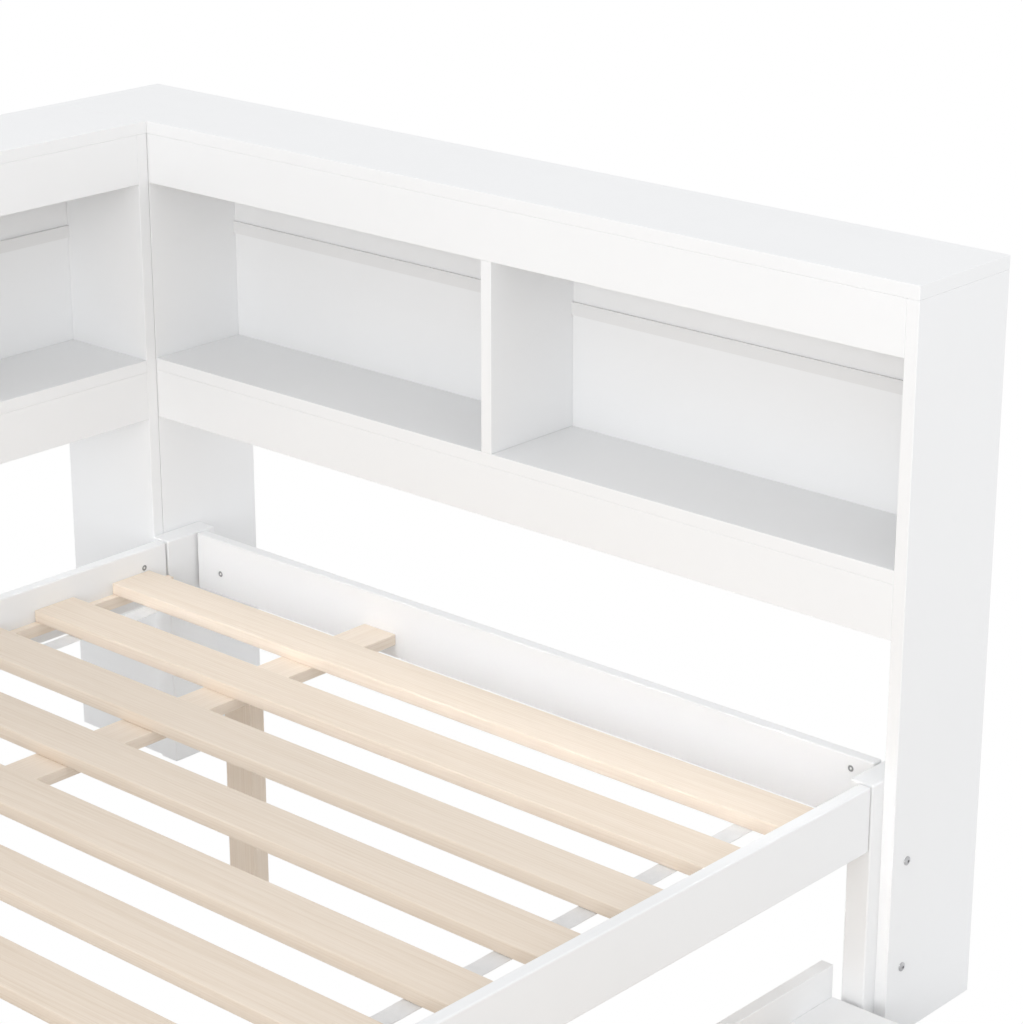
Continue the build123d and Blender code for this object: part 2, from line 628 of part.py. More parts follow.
def build_caster(end, side, x, y):
    """One rigid caster: folded steel bracket, axle pin, moulded wheel and four screws."""
    axle = (x, y, WHEEL_RADIUS)
    cheek_in = WHEEL_WIDTH / 2 + WHEEL_SIDE_PLAY
    cheek_out = cheek_in + CASTER_SHEET
    plate_half = cheek_out + CASTER_FLANGE
    plate_under = CROSS_UNDER - CASTER_SHEET
    plate_x = (x - plate_half, x + plate_half)
    plate_y = (y - CASTER_PLATE / 2, y + CASTER_PLATE / 2)
    cheek_y = (y - CHEEK_WIDTH / 2, y + CHEEK_WIDTH / 2)
    bracket = block(plate_x, plate_y, (plate_under, CROSS_UNDER))
    pin = rod(along(axle, (1, 0, 0), -cheek_out), (1, 0, 0), 2 * cheek_out, AXLE_RADIUS)
    for way in (-1, 1):
        cheek_x = (x + way * cheek_in, x + way * cheek_out)
        cheek = block(cheek_x, cheek_y, (WHEEL_RADIUS, plate_under))
        inner_point = along(axle, (way, 0, 0), cheek_in)
        outer_point = along(axle, (way, 0, 0), cheek_out)
        bracket = bracket + cheek + rod(inner_point, (way, 0, 0), CASTER_SHEET, CHEEK_WIDTH / 2)
        pin = pin + rod(outer_point, (way, 0, 0), AXLE_HEAD_HEIGHT, AXLE_HEAD_RADIUS)
    add("caster_axles", pin)
    hole_start = along(axle, (1, 0, 0), -cheek_out)
    axle_hole = rod(hole_start, (1, 0, 0), 2 * cheek_out, AXLE_RADIUS + RUNNING_PLAY)
    parts[f"caster_wheel_{end}_{side}"] = caster_wheel(axle) - axle_hole
    bracket = screw_caster(bracket - axle_hole, plate_x, plate_y, f"trundle_{end}_cross")
    add("caster_brackets", bracket)


def caster_wheel(axle):
    """A moulded wheel, dished on both sides between its rim and its hub."""
    start = along(axle, (1, 0, 0), -WHEEL_WIDTH / 2)
    wheel = rod(start, (1, 0, 0), WHEEL_WIDTH, WHEEL_RADIUS)
    wheel = fillet(wheel.edges().filter_by(GeomType.CIRCLE), WHEEL_ROUND)
    for way in (-1, 1):
        face = along(axle, (way, 0, 0), WHEEL_WIDTH / 2)
        room = rod(face, (-way, 0, 0), WHEEL_DISH, WHEEL_RADIUS - WHEEL_RIM)
        hub = rod(face, (-way, 0, 0), WHEEL_DISH, HUB_RADIUS)
        wheel = wheel - (room - hub)
    return wheel


def screw_caster(bracket, plate_x, plate_y, cross_name):
    """Four pan-head screws through the corners of a caster's plate."""
    plate_under = CROSS_UNDER - CASTER_SHEET
    for x in (plate_x[0] + CASTER_SCREW_EDGE, plate_x[1] - CASTER_SCREW_EDGE):
        for y in (plate_y[0] + CASTER_SCREW_EDGE, plate_y[1] - CASTER_SCREW_EDGE):
            seat = (x, y, plate_under)
            crown = (x, y, plate_under - SCREW_HEAD_HEIGHT)
            head = rod(seat, (0, 0, -1), SCREW_HEAD_HEIGHT, SCREW_HEAD_RADIUS)
            shank = rod(seat, (0, 0, 1), CASTER_SCREW_LENGTH, SCREW_RADIUS)
            add("caster_screws", head + shank - cross_recess(crown, (0, 0, 1)))
            bracket = bracket - shank
            cut((cross_name,), shank)
    return bracket


def write_parts():
    """Shift every part to the middle of the footprint and write one file for each name."""
    os.makedirs("parts", exist_ok=True)
    shift = Pos(-MIDDLE_X, -MIDDLE_Y, 0)
    for name, solid in parts.items():
        shape = Compound(children=list(solid)) if isinstance(solid, list) else solid
        export_step(shift * shape, f"parts/{name}.step")


build_end_case()
build_long_case()
build_frame()
build_case_bolts()
build_deck()
build_trundle()
write_parts()
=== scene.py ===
import json
import math

import bmesh
import bpy
import numpy as np
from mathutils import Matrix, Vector


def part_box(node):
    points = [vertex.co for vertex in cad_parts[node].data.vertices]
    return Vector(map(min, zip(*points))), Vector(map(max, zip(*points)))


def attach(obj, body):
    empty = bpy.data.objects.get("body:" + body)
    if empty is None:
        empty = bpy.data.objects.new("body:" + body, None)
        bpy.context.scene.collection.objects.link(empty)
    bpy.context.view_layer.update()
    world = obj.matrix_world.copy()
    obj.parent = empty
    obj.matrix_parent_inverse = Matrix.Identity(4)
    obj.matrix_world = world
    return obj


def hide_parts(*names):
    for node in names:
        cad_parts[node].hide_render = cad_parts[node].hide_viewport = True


# A full-size daybed: two white bookcases in an L, pale slats between four rails, and a low
# trundle on casters. Metres, +Z up, zero on the floor in the middle of the footprint.

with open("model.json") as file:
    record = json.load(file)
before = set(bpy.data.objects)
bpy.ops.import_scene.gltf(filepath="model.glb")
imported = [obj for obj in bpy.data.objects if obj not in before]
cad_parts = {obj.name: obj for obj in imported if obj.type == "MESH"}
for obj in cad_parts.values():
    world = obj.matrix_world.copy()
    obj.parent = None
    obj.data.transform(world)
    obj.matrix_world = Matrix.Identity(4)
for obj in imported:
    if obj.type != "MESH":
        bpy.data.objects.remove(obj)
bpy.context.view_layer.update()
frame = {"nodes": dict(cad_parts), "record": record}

# Planed slats
SLAT_ROUND = 0.002
CORNER_STEPS = 5
TONE_SPREAD = 0.5
TONE_SEED = 8

# Edges sharper than these angles stay sharp when a mesh is smoothed
SHARP = math.radians(35)
SHARP_ON_THIN = math.radians(60)

# Webbing straps, woven, stapled under the slats
STRAP_SAG = 0.0008
STRAP_STEP = 0.006
STRAP_POINTS = 25
STRAP_EDGE_POWER = 24
STRAP_EDGE_LEAST = 0.35
SELVEDGE = 0.0022
SELVEDGE_RISE = 0.0002
STAPLE_CROWN = 0.0105
STAPLE_WIRE = 0.0006
STAPLE_WIRE_POINTS = 8
STAPLE_SINK = 0.4
STAPLE_LEG = 0.004
STAPLE_BEND = 0.0004
STAPLE_INSET = 0.018

# Button-head bolts
BOLT_TURN = 72
BOLT_SHAFT = 0.003
BOLT_HEAD = 0.0065
BOLT_HEAD_HEIGHT = 0.0035
BOLT_DOME = 0.0021
BOLT_RIM = 0.0003
BOLT_HEX = 0.004
BOLT_SOCKET = 0.0024
BOLT_LEAD_IN = 0.0003
BOLT_SOCKET_CORE = 0.35
BOLT_SOCKET_CONE = 0.0004
BOLT_DOME_RINGS = 12
BOLT_RIM_RINGS = 4
BOLT_UNDERCUT = 0.0002
BOLT_TIP = 0.0006

# Barrel nuts
NUT_TURN = 48
NUT_CHAMFER = 0.0004
NUT_RIM = 0.0003
NUT_CAP = 0.0017
NUT_CAP_CORE = 0.4
NUT_CAP_CROWN = 0.00005
NUT_CAP_WALL = 0.0002
NUT_RIM_WALL = 0.0001
NUT_DISH = 0.0005
# Painted shade on each part of a barrel nut, from none on the cap to full in the dished ring
NUT_RING_PAINTED_SHADE = 1.0
NUT_CHAMFER_PAINTED_SHADE = 0.8
NUT_RIM_PAINTED_SHADE = 0.6
NUT_BARREL_PAINTED_SHADE = 0.3

# Caster wheels
WHEEL_TURN = 96
WHEEL_BORE = 0.00255
HUB_RADIUS = 0.005
HUB_ROUND = 0.0006
RIM_DEPTH = 0.005
WHEEL_DISH = 0.0027
TREAD_ROUND = 0.002
TREAD_GROOVES = 3
GROOVE_DEPTH = 0.0004
SPOKES = 6
SPOKE_SHARE = 0.32
SPOKE_SLOPE = 0.35
SPOKE_RISE = 0.7
ROUND_STEPS = 6
DISH_STEPS = 14
DISH_ENDS = (0.03, 0.97)
TREAD_STEPS = 20

# Points of one mesh closer than this are merged
WELD = 1e-6

# Camera, found from the straight edges in the photograph
CAMERA_PLACE = (-2.1597, -2.4334, 2.0782)
CAMERA_TILT = 70.261
CAMERA_TURN = -48.044
CAMERA_LENS = 103.33
CAMERA_REACH = 500
SENSOR = 36.0

# Studio
AIR_COLOUR = (0.99, 0.993, 1.0)
AIR_STRENGTH = 0.95
FLOOR_TONE = 0.84
FLOOR_HALF = 150.0
FLOOR_DROP = 0.0005
KEY_PLACE = (-8.0, -4.0, 2.2)
KEY_AIM = (0.9, -0.3, 0.4)
KEY_SIZE = (5.0, 5.0)
KEY_POWER = 260
DECK_PLACE = (-1.1, 0.3, 1.9)
DECK_AIM = (0.84, 0.33, 0.27)
DECK_SIZE = (1.5, 0.2)
DECK_SPREAD = 9.0
DECK_POWER = 0.42

rng = np.random.default_rng(TONE_SEED)


def solids(node):
    """Boxes of a CAD node's separate solids: every corner takes the least label of its triangle's
    corners, again and again, until each solid has one label. Gives a list of (low, high)."""
    mesh = frame["nodes"][node].data
    mesh.calc_loop_triangles()
    corners = np.empty(len(mesh.vertices) * 3, np.float32)
    mesh.vertices.foreach_get("co", corners)
    triangles = np.empty(len(mesh.loop_triangles) * 3, np.int32)
    mesh.loop_triangles.foreach_get("vertices", triangles)
    places, index = np.unique(np.round(corners.reshape(-1, 3), 6), axis=0, return_inverse=True)
    triangles = index.reshape(-1)[triangles.reshape(-1, 3)]
    label = np.arange(len(places))
    while True:
        lower = label.copy()
        np.minimum.at(lower, triangles.ravel(), np.repeat(label[triangles].min(1), 3))
        lower = lower[lower]
        if (lower == label).all():
            break
        label = lower
    groups = [places[label == number] for number in np.unique(label)]
    return [(group.min(0), group.max(0)) for group in groups]


def grid_faces(rows, columns, wrap_rows=False):
    """Quads between neighbouring points of a grid whose rows are closed rings."""
    row, column = np.meshgrid(np.arange(rows if wrap_rows else rows - 1), np.arange(columns),
                              indexing="ij")
    next_row = (row + 1) % rows
    next_column = (column + 1) % columns
    quads = np.stack([row * columns + column, row * columns + next_column,
                      next_row * columns + next_column, next_row * columns + column], -1)
    return quads.reshape(-1, 4).tolist()


def ring_piece(name, rings, material, body="root", wrap_rows=False, sharp=SHARP):
    """A closed mesh from rings of points, of the shape rings by points by three. Neighbouring rings
    are joined by quads, and the first and the last are closed by one flat face each."""
    rows, columns = rings.shape[:2]
    faces = grid_faces(rows, columns, wrap_rows)
    if not wrap_rows:
        faces.append(list(range(columns)))
        faces.append(list(range((rows - 1) * columns, rows * columns)))
    mesh = bpy.data.meshes.new(name)
    mesh.from_pydata(rings.reshape(-1, 3), [], faces)
    finish_mesh(mesh, sharp)
    return add_piece(name, mesh, material, body)


def finish_mesh(mesh, sharp):
    """Merge doubled points, turn every face outwards and smooth all but the sharp edges."""
    shell = bmesh.new()
    shell.from_mesh(mesh)
    bmesh.ops.remove_doubles(shell, verts=shell.verts, dist=WELD)
    bmesh.ops.dissolve_degenerate(shell, edges=shell.edges, dist=WELD)
    bmesh.ops.recalc_face_normals(shell, faces=shell.faces)
    shell.to_mesh(mesh)
    shell.free()
    mesh.shade_smooth()
    mesh.set_sharp_from_angle(angle=sharp)


def add_piece(name, mesh, material, body):
    """Put a mesh in the scene, on its body, with its material."""
    mesh.materials.append(material)
    piece = bpy.data.objects.new(name, mesh)
    bpy.context.scene.collection.objects.link(piece)
    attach(piece, body)
    return piece


def set_tone(piece, tone):
    """One number for the whole piece, which its material reads as how dark this board is."""
    attribute = piece.data.attributes.new("board_tone", "FLOAT", "POINT")
    attribute.data.foreach_set("value", np.full(len(piece.data.vertices), tone, np.float32))


def rounded_outline(half_width, half_height, radius, inset):
    """Points round a rectangle with quarter-circle corners, the whole drawn in by the inset. Each
    corner's centre is the corner less the radius, and its points lie on that circle."""
    turn = np.linspace(0, math.pi / 2, CORNER_STEPS + 1)
    angle = (np.arange(4)[:, None] * math.pi / 2 + turn).ravel()
    side = np.repeat([[1, 1], [-1, 1], [-1, -1], [1, -1]], CORNER_STEPS + 1, 0)
    centre = side * np.array([half_width - radius, half_height - radius])
    reach = np.maximum(radius - inset, 0)
    return centre + reach * np.stack([np.cos(angle), np.sin(angle)], -1)


def planed_slat(name, low, high, material, body):
    """A slat along Y: its rounded outline is carried from end to end, and near each end it draws in
    along a quarter circle, so the end's edges are round too."""
    middle = (low + high) / 2
    half = (high - low) / 2
    angle = np.linspace(0, math.pi / 2, CORNER_STEPS + 1)
    from_end = SLAT_ROUND * (1 - np.cos(angle))
    drawn_in = SLAT_ROUND * (1 - np.sin(angle))
    along = np.concatenate([-half[1] + from_end, half[1] - from_end[::-1]])
    rings = []
    for place, inward in zip(along, np.concatenate([drawn_in, drawn_in[::-1]])):
        outline = rounded_outline(half[0], half[2], SLAT_ROUND, inward)
        rings.append(np.column_stack([outline[:, 0], np.full(len(outline), place), outline[:, 1]]))
    piece = ring_piece(name, np.array(rings) + middle, material, body)
    set_tone(piece, rng.uniform(-TONE_SPREAD, TONE_SPREAD))
    return piece


def make_slats(node, prefix, material, body):
    """Every slat of a CAD node as a planed piece of its own."""
    for number, (low, high) in enumerate(sorted(solids(node), key=lambda box: box[0][0]), 1):
        slat = planed_slat(f"{prefix}_{number:02d}", low, high, material, body)
        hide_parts(node)


def webbing_strap(name, node, slats, material):
    """A woven strap along X under the slats. Its outline is a flat band, thicker at its two woven
    edges and rounded off beyond them, and between two slats it hangs lower by the sag times the sine
    squared of the way across."""
    low, high = (np.array(corner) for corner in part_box(node))
    width = high[1] - low[1]
    thick = high[2] - low[2]
    along = np.arange(low[0], high[0] + STRAP_STEP / 2, STRAP_STEP)
    along[-1] = high[0]
    drop = np.zeros_like(along)
    for left, right in zip(slats[:-1], slats[1:]):
        start, end = left[1][0], right[0][0]
        inside = (along > start) & (along < end)
        share = (along[inside] - start) / (end - start)
        drop[inside] = STRAP_SAG * np.sin(math.pi * share) ** 2
    across = np.linspace(-width / 2, width / 2, STRAP_POINTS)
    edge = (np.abs(across) > width / 2 - SELVEDGE) * SELVEDGE_RISE
    edge_round = np.sqrt(np.clip(1 - (np.abs(across) / (width / 2)) ** STRAP_EDGE_POWER, 0, 1))
    half = (thick / 2 - SELVEDGE_RISE + edge) * np.maximum(edge_round, STRAP_EDGE_LEAST)
    outline = np.concatenate([np.column_stack([across, half]),
                              np.column_stack([across[::-1], -half[::-1]])])
    middle = (low + high) / 2
    points = np.empty((len(along), len(outline), 3))
    points[..., 0] = along[:, None]
    points[..., 1] = middle[1] + outline[:, 0]
    points[..., 2] = middle[2] + outline[:, 1] - drop[:, None]
    piece = ring_piece(name, points, material, sharp=SHARP_ON_THIN)
    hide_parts(node)
    return piece


def staples(straps, slats, material):
    """Staples through the straps into the slats: two to each crossing, each a thin crown of round wire
    with its ends turned up into the wood. The wire's circle is carried along the bent centreline."""
    turn = np.linspace(0, 2 * math.pi, STAPLE_WIRE_POINTS, endpoint=False)
    side = np.array([1.0, 0, 0])
    rings = []
    faces = []
    for node in straps:
        low, high = (np.array(corner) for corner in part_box(node))
        under = low[2] - STAPLE_WIRE * STAPLE_SINK
        y = (low[1] + high[1]) / 2
        left, right = y - STAPLE_CROWN / 2, y + STAPLE_CROWN / 2
        for slat_low, slat_high in slats:
            for x in (slat_low[0] + STAPLE_INSET, slat_high[0] - STAPLE_INSET):
                path = np.array([[x, left, under + STAPLE_LEG],
                                 [x, left, under + STAPLE_BEND],
                                 [x, left + STAPLE_BEND, under],
                                 [x, right - STAPLE_BEND, under],
                                 [x, right, under + STAPLE_BEND],
                                 [x, right, under + STAPLE_LEG]])
                tangent = np.gradient(path, axis=0)
                tangent /= np.linalg.norm(tangent, axis=1)[:, None]
                other = np.cross(tangent, side)
                wire = STAPLE_WIRE / 2 * (np.cos(turn)[None, :, None] * side
                                          + np.sin(turn)[None, :, None] * other[:, None, :])
                first = len(rings) * len(path) * len(turn)
                rings.append(path[:, None, :] + wire)
                quads = np.array(grid_faces(len(path), len(turn))) + first
                faces += quads.tolist()
                faces.append((np.arange(len(turn)) + first).tolist())
                faces.append((np.arange(len(turn)) + first + (len(path) - 1) * len(turn)).tolist())
    mesh = bpy.data.meshes.new("strap_staples")
    mesh.from_pydata(np.array(rings).reshape(-1, 3), [], faces)
    finish_mesh(mesh, SHARP_ON_THIN)
    return add_piece("strap_staples", mesh, material, "root")


def hexagon(angle, across_flats):
    """Distance from a hexagon's middle to its edge at each angle: half the width across its flats
    over the cosine of the angle from the nearest flat's middle."""
    return across_flats / 2 / np.cos((angle + math.pi / 6) % (math.pi / 3) - math.pi / 6)


def button_bolt(name, low, high, outward, material):
    """A button-head bolt. From the floor of its hexagon socket the rings climb the socket, run over
    the dome, whose height falls with the square of the radius, round the rim and down the shaft."""
    angle = np.linspace(0, 2 * math.pi, BOLT_TURN, endpoint=False)
    socket = hexagon(angle, BOLT_HEX)
    top = BOLT_HEAD_HEIGHT
    rim_height = top - BOLT_DOME
    length = high[1] - low[1]
    rings = [(socket * BOLT_SOCKET_CORE, top - BOLT_SOCKET - BOLT_SOCKET_CONE),
             (socket, top - BOLT_SOCKET), (socket, top - BOLT_LEAD_IN)]
    for share in np.linspace(0, 1, BOLT_DOME_RINGS):
        radius = (socket + BOLT_LEAD_IN) * (1 - share) + (BOLT_HEAD - BOLT_RIM) * share
        rings.append((radius, rim_height + BOLT_RIM
                      + (BOLT_DOME - BOLT_RIM) * (1 - (radius / (BOLT_HEAD - BOLT_RIM)) ** 2)))
    for turn in np.linspace(0, math.pi / 2, BOLT_RIM_RINGS):
        rings.append((np.full_like(angle, BOLT_HEAD - BOLT_RIM * (1 - math.sin(turn))),
                      rim_height + BOLT_RIM * math.cos(turn)))
    for radius, height in ((BOLT_HEAD, BOLT_UNDERCUT), (BOLT_HEAD - BOLT_UNDERCUT, 0.0),
                           (BOLT_SHAFT, 0.0), (BOLT_SHAFT, BOLT_HEAD_HEIGHT - length + BOLT_TIP),
                           (BOLT_SHAFT - BOLT_TIP, BOLT_HEAD_HEIGHT - length)):
        rings.append((np.full_like(angle, radius), height))
    points = np.empty((len(rings), BOLT_TURN, 3))
    for row, (radius, height) in enumerate(rings):
        points[row, :, 0] = radius * np.cos(angle)
        points[row, :, 1] = outward * height
        points[row, :, 2] = radius * np.sin(angle)
    middle = (low + high) / 2
    seat = low[1] + BOLT_HEAD_HEIGHT if outward < 0 else high[1] - BOLT_HEAD_HEIGHT
    piece = ring_piece(name, points + [middle[0], seat, middle[2]], material)
    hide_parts("case_bolts")
    return piece


def make_bolts(material):
    """All the button-head bolts, their heads towards the outside of the bookcases."""
    middle_y = sum(corner[1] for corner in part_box("post_head_front")) / 2
    for number, (low, high) in enumerate(solids("case_bolts"), 1):
        outward = -1 if (low[1] + high[1]) / 2 < middle_y else 1
        button_bolt(f"button_bolt_{number}", low, high, outward, material)


def barrel_nut(name, low, high, inside, material):
    """A barrel nut, turned from an outline of rings: a low cap in the middle of its shown face, a
    dished ring round the cap, a rim, a chamfer and the plain barrel. Each ring carries an amount of
    painted shade: the most in the dished ring, less on the chamfer, rim and barrel, none on the cap."""
    size = high - low
    middle = (low + high) / 2
    axis = int(np.argmax(size))
    others = [index for index in range(3) if index != axis]
    way = 1 if inside[axis] > middle[axis] else -1
    length = size[axis]
    radius = size[2] / 2
    ring_edge = radius - NUT_CHAMFER - NUT_RIM
    # Each entry: radius, depth and the painted shade of that ring
    outline = [(NUT_CAP * NUT_CAP_CORE, 0.0, 0.0), (NUT_CAP, NUT_CAP_CROWN, 0.0),
               (NUT_CAP + NUT_CAP_WALL, NUT_DISH, NUT_RING_PAINTED_SHADE), (ring_edge, NUT_DISH, NUT_RING_PAINTED_SHADE),
               (ring_edge + NUT_RIM_WALL, 0.0, NUT_RIM_PAINTED_SHADE),
               (radius - NUT_CHAMFER, 0.0, NUT_RIM_PAINTED_SHADE), (radius, NUT_CHAMFER, NUT_CHAMFER_PAINTED_SHADE),
               (radius, length - NUT_CHAMFER, NUT_BARREL_PAINTED_SHADE),
               (radius - NUT_CHAMFER, length, NUT_BARREL_PAINTED_SHADE)]
    angle = np.linspace(0, 2 * math.pi, NUT_TURN, endpoint=False)
    points = np.empty((len(outline), NUT_TURN, 3))
    for row, (ring, depth, tone) in enumerate(outline):
        points[row, :, axis] = way * (length / 2 - depth)
        points[row, :, others[0]] = ring * np.cos(angle)
        points[row, :, others[1]] = ring * np.sin(angle)
    piece = ring_piece(name, points + middle, material)
    # Each ring's painted shade, which the nut material turns into a darker colour
    shade = piece.data.attributes.new("ring_painted_shade", "FLOAT", "POINT")
    shade.data.foreach_set("value", np.repeat([row[2] for row in outline], NUT_TURN).astype(np.float32))
    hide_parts("barrel_nuts")
    return piece


def make_nuts(material):
    """All the barrel nuts, their shown faces towards the inside of the bed."""
    low, high = (np.array(corner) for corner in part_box("bed_slats"))
    for number, (nut_low, nut_high) in enumerate(solids("barrel_nuts"), 1):
        barrel_nut(f"barrel_nut_{number}", nut_low, nut_high, (low + high) / 2, material)


def wheel_profile(width, radius):
    """Half of a wheel's outline from its bore to the middle of its tread, as distance from the middle
    plane and radius. The dish lies deeper than the hub and the rim."""
    half = width / 2
    turn = np.linspace(0, math.pi / 2, ROUND_STEPS)
    rim = radius - RIM_DEPTH
    hub = [(half, WHEEL_BORE), (half, HUB_RADIUS - HUB_ROUND)]
    hub += [(half - HUB_ROUND * (1 - math.cos(t)), HUB_RADIUS - HUB_ROUND * (1 - math.sin(t)))
            for t in turn]
    dish = [(half - WHEEL_DISH, HUB_RADIUS + share * (rim - HUB_RADIUS))
            for share in np.linspace(*DISH_ENDS, DISH_STEPS)]
    side = [(half, rim), (half, radius - TREAD_ROUND)]
    side += [(half - TREAD_ROUND * (1 - math.cos(t)), radius - TREAD_ROUND * (1 - math.sin(t)))
             for t in turn]
    tread = np.linspace(half - TREAD_ROUND, 0, TREAD_STEPS)[1:]
    wave = np.cos(math.pi * TREAD_GROOVES * tread / (half - TREAD_ROUND))
    groove = GROOVE_DEPTH * np.clip(wave, 0, 1) ** 2
    return np.array(hub + dish + side + list(zip(tread, radius - groove)))


def caster_wheel(node, body, material):
    """A moulded wheel: the mirrored half outline is turned round the axle, and between hub and rim the
    dish rises into spokes where the cosine of the turn times their number is high."""
    low, high = (np.array(corner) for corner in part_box(node))
    middle = (low + high) / 2
    radius = (high[2] - low[2]) / 2
    half = wheel_profile(high[0] - low[0], radius)
    outline = np.concatenate([half, (half * [-1, 1])[::-1][1:]])
    angle = np.linspace(0, 2 * math.pi, WHEEL_TURN, endpoint=False)
    edge = (high[0] - low[0]) / 2
    inside = (outline[:, 1] > HUB_RADIUS) & (outline[:, 1] < radius - RIM_DEPTH)
    inside &= np.abs(outline[:, 0]) < edge - WHEEL_DISH / 2
    above = (np.cos(angle * SPOKES) - (1 - 2 * SPOKE_SHARE)) / SPOKE_SLOPE
    rise = np.clip(above, 0, 1) * WHEEL_DISH * SPOKE_RISE
    across = outline[:, 0][:, None] + inside[:, None] * np.sign(outline[:, 0])[:, None] * rise
    points = np.empty((len(outline), WHEEL_TURN, 3))
    points[..., 0] = across
    points[..., 1] = outline[:, 1][:, None] * np.cos(angle)
    points[..., 2] = outline[:, 1][:, None] * np.sin(angle)
    piece = ring_piece(node + "_moulded", points + middle, material, body,
                       wrap_rows=True)
    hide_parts(node)
    return piece


def new_group(name, inputs, outputs):
    """A shader node group with named inputs, each with its default, and named outputs."""
    group = bpy.data.node_groups.new(name, "ShaderNodeTree")
    kinds = {float: "NodeSocketFloat", tuple: "NodeSocketVector"}
    for label, default in inputs.items():
        socket = group.interface.new_socket(label, in_out="INPUT", socket_type=kinds[type(default)])
        if isinstance(default, float):
            socket.default_value = default
    for label in outputs:
        group.interface.new_socket(label, in_out="OUTPUT", socket_type="NodeSocketFloat")
    start = group.nodes.new("NodeGroupInput")
    end = group.nodes.new("NodeGroupOutput")
    return group, start, end


def put(tree, kind, inputs=None, **settings):
    """A node with its settings, and its inputs given as numbers or as other nodes' outputs."""
    node = tree.nodes.new(kind)
    for key, value in settings.items():
        setattr(node, key, value)
    for key, value in (inputs or {}).items():
        if isinstance(value, bpy.types.NodeSocket):
            tree.links.new(value, node.inputs[key])
        else:
            node.inputs[key].default_value = value
    return node


def sum_up(tree, operation, first, second=0.0, third=0.0):
    """A Math node's output."""
    return put(tree, "ShaderNodeMath", {0: first, 1: second, 2: third}, operation=operation).outputs[0]


def noise(tree, vector, scale, detail=2.0, roughness=0.5):
    """A Noise Texture's value."""
    return put(tree, "ShaderNodeTexNoise", {"Vector": vector, "Scale": scale, "Detail": detail,
                                            "Roughness": roughness}).outputs[0]


def spread(tree, value, low, high, out_low, out_high):
    """A Map Range node's output, clamped."""
    ends = {0: value, 1: low, 2: high, 3: out_low, 4: out_high}
    return put(tree, "ShaderNodeMapRange", ends).outputs[0]


def make_mottle():
    """Uneven patches: a noise of a given scale, spread between two given values."""
    group, start, end = new_group("mottle", {"Vector": (0, 0, 0), "Scale": 20.0, "Lowest": 0.0,
                                             "Highest": 1.0}, ["Value"])
    value = noise(group, start.outputs["Vector"], start.outputs["Scale"], 3.0)
    patch = spread(group, value, 0.3, 0.7, start.outputs["Lowest"], start.outputs["Highest"])
    group.links.new(patch, end.inputs["Value"])
    return group


def make_grain():
    """Sawn wood with its grain along Y: rings are the distance from a wandering heart line over the
    ring spacing, and fibres are a noise drawn out along Y."""
    group, start, end = new_group("wood_grain", {"Vector": (0, 0, 0), "Board Tone": 0.0,
                                                 "Ring Spacing": 0.004, "Wander": 0.006},
                                  ["Rings", "Fibres", "Flecks"])
    parts = put(group, "ShaderNodeSeparateXYZ", {0: start.outputs["Vector"]}).outputs
    tone = start.outputs["Board Tone"]
    slow = put(group, "ShaderNodeCombineXYZ", {0: sum_up(group, "MULTIPLY_ADD", parts[0], 9.0, tone),
                                               1: sum_up(group, "MULTIPLY", parts[1], 1.3),
                                               2: sum_up(group, "MULTIPLY", parts[2], 9.0)}).outputs[0]
    wander = sum_up(group, "MULTIPLY", sum_up(group, "SUBTRACT", noise(group, slow, 1.0, 2.0), 0.5),
                    start.outputs["Wander"])
    across = sum_up(group, "ADD", sum_up(group, "MULTIPLY_ADD", tone, 0.05, parts[0]), wander)
    through = sum_up(group, "ADD", parts[2], sum_up(group, "MULTIPLY_ADD", wander, 3.0, 0.09))
    squares = sum_up(group, "ADD", sum_up(group, "MULTIPLY", across, across),
                     sum_up(group, "MULTIPLY", through, through))
    turns = sum_up(group, "DIVIDE", sum_up(group, "SQRT", squares), start.outputs["Ring Spacing"])
    ring = sum_up(group, "POWER", sum_up(group, "FRACT", turns), 2.5)
    fall = spread(group, sum_up(group, "FRACT", turns), 0.93, 1.0, 1.0, 0.0)
    group.links.new(sum_up(group, "MULTIPLY", ring, fall), end.inputs["Rings"])
    thin = put(group, "ShaderNodeCombineXYZ", {0: sum_up(group, "MULTIPLY", parts[0], 620.0),
                                               1: sum_up(group, "MULTIPLY", parts[1], 9.0),
                                               2: sum_up(group, "MULTIPLY", parts[2], 620.0)}).outputs[0]
    group.links.new(noise(group, thin, 1.0, 3.0, 0.6), end.inputs["Fibres"])
    fleck = put(group, "ShaderNodeCombineXYZ", {0: sum_up(group, "MULTIPLY", parts[0], 160.0),
                                                1: sum_up(group, "MULTIPLY", parts[1], 3.0),
                                                2: sum_up(group, "MULTIPLY", parts[2], 160.0)}).outputs[0]
    group.links.new(noise(group, fleck, 1.0, 2.0, 0.5), end.inputs["Flecks"])
    return group


